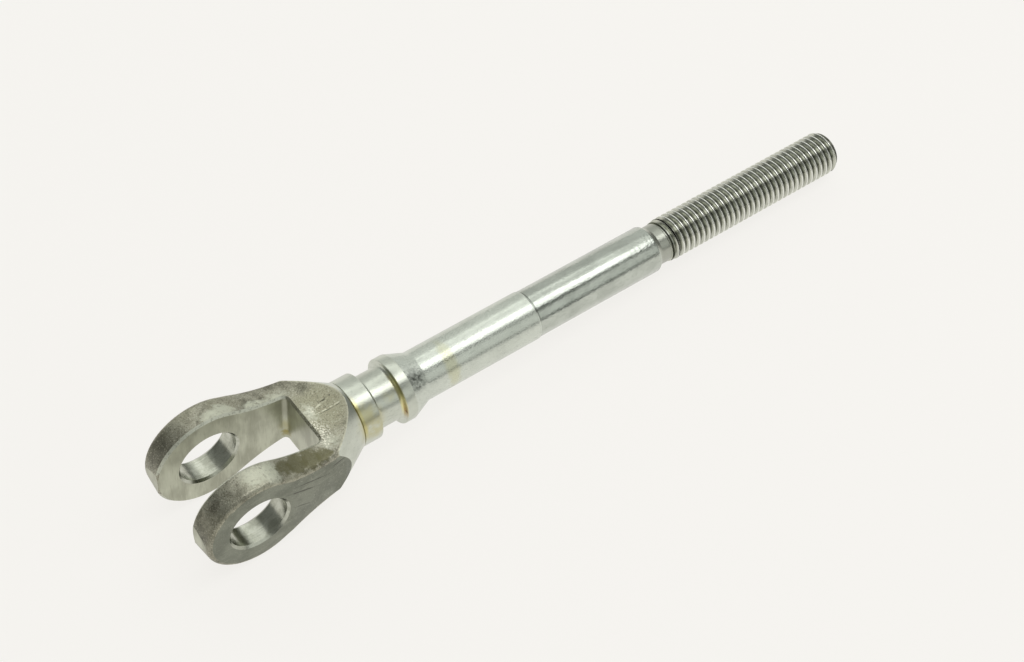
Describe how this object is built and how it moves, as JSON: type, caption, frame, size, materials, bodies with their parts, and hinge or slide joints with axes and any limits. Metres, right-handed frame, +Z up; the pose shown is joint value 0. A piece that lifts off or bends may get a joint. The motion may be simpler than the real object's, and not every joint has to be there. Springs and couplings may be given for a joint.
{
  "type": "clevis rod end",
  "caption": "One-piece forged and turned steel clevis: a two-eared fork with a cross bore, a grooved collar behind it, a stepped round shank and an external thread at the free end.",
  "frame": {"origin": "centre of the clevis pin bore, midway between the ears", "axes": "+X along the shank towards the threaded end, +Y along the pin bore, +Z up across the fork slot"},
  "size_m": [0.2377, 0.034, 0.0336],
  "materials": {
    "clevis_rod_end": "zinc-plated steel, as-forged and grainy on the fork, turned and smooth on the shank"
  },
  "bodies": {
    "root": {"clevis_rod_end": "clevis_rod_end"}
  },
  "joints": []
}
